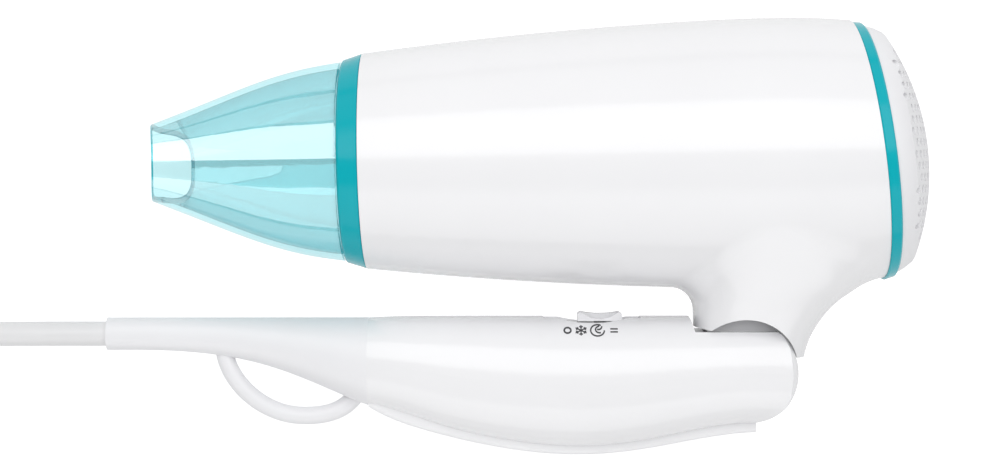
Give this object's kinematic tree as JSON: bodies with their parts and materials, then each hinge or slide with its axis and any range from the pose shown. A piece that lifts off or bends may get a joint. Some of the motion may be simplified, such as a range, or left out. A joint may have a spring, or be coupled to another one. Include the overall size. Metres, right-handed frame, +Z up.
{
  "type": "travel hair dryer",
  "caption": "Small folding hair dryer with a clear concentrator nozzle, domed rear intake grille, slide switch, hanging loop and mains cord.",
  "frame": {"origin": "centre of the folded dryer's outline on the table that it lies on, without its cord", "axes": "+X towards the rear intake grille along the folded dryer, +Y from the handle towards the barrel, +Z up from the table, across the dryer from its right side to its left"},
  "size_m": [0.4015, 0.1434, 0.07],
  "materials": {
    "shell_white": "smooth moulded white with a soft gloss",
    "ring_teal": "smooth teal",
    "grille_white": "satin white",
    "nozzle_clear": "clear teal plastic",
    "knob_white": "smooth white",
    "strip_white": "soft white",
    "relief_white": "satin white",
    "cord_white": "smooth vinyl",
    "plug_white": "satin white",
    "pin_metal": "nickel plated",
    "screw_steel": "plain steel",
    "motor_steel": "plated steel",
    "hinge_plastic": "natural nylon",
    "duct_plastic": "black heat resistant",
    "heat_plastic": "black heat resistant",
    "mica": "pressed mica sheet",
    "heater_wire": "resistance wire",
    "thermostat_metal": "brass strip",
    "fuse_body": "drawn can",
    "board": "circuit board",
    "component_black": "moulded black",
    "capacitor_yellow": "moulded case",
    "lead_insulation": "silicone insulation",
    "screen_mesh": "fine mesh"
  },
  "bodies": {
    "handle": {"handle_shell_left": "shell_white", "handle_shell_right": "shell_white", "handle_screws": "screw_steel", "palm_strip": "strip_white", "hinge_pins": "hinge_plastic", "hinge_washers": "screw_steel", "switch_body": "component_black", "switch_terminals": "thermostat_metal", "suppression_capacitor": "capacitor_yellow", "cord_sheath": "cord_white", "cord_clamp": "hinge_plastic", "clamp_screws": "screw_steel", "handle_leads": "lead_insulation", "strain_relief": "relief_white", "cord_tube": "cord_white", "cord_coil": "cord_white", "cord_tail": "cord_white", "plug_body": "plug_white", "plug_pins": "pin_metal"},
    "barrel": {"barrel_shell_left": "shell_white", "barrel_shell_right": "shell_white", "barrel_screws": "screw_steel", "front_ring": "ring_teal", "outlet_grille": "heat_plastic", "rear_ring": "ring_teal", "intake_grille": "grille_white", "lint_screen": "screen_mesh", "mica_cross": "mica", "mica_liner": "mica", "heater_coils": "heater_wire", "thermostat": "thermostat_metal", "thermal_fuse": "fuse_body", "motor_duct": "duct_plastic", "motor_can": "motor_steel", "rectifier_board": "board", "diodes": "component_black", "barrel_leads": "lead_insulation"},
    "rotor": {"motor_shaft": "screw_steel", "fan_impeller": "duct_plastic"},
    "nozzle_ring": {"nozzle_snap_ring": "screw_steel"},
    "nozzle": {"concentrator": "nozzle_clear"},
    "switch": {"switch_knob": "knob_white", "switch_slider": "hinge_plastic"}
  },
  "joints": [
    {"name": "handle_fold", "type": "hinge", "parent": "handle", "child": "barrel", "pos_m": [0.0581, -0.0353, 0.03503], "axis": [0, 0, -1], "range_deg": [0, 90]},
    {"name": "fan_spin", "type": "hinge", "parent": "barrel", "child": "rotor", "pos_m": [0.06068, 0.02111, 0.03503], "axis": [0.9998, 0.0201, 0], "continuous": true},
    {"name": "nozzle_swivel", "type": "hinge", "parent": "barrel", "child": "nozzle_ring", "pos_m": [-0.0393, 0.0191, 0.03503], "axis": [-0.9998, -0.0201, 0], "continuous": true},
    {"name": "nozzle_pull", "type": "slide", "parent": "nozzle_ring", "child": "nozzle", "axis": [-0.9998, -0.0201, 0], "range_m": [0, 0.03]},
    {"name": "switch_slide", "type": "slide", "parent": "handle", "child": "switch", "axis": [1, 0, 0], "range_m": [-0.008, 0.004]}
  ]
}
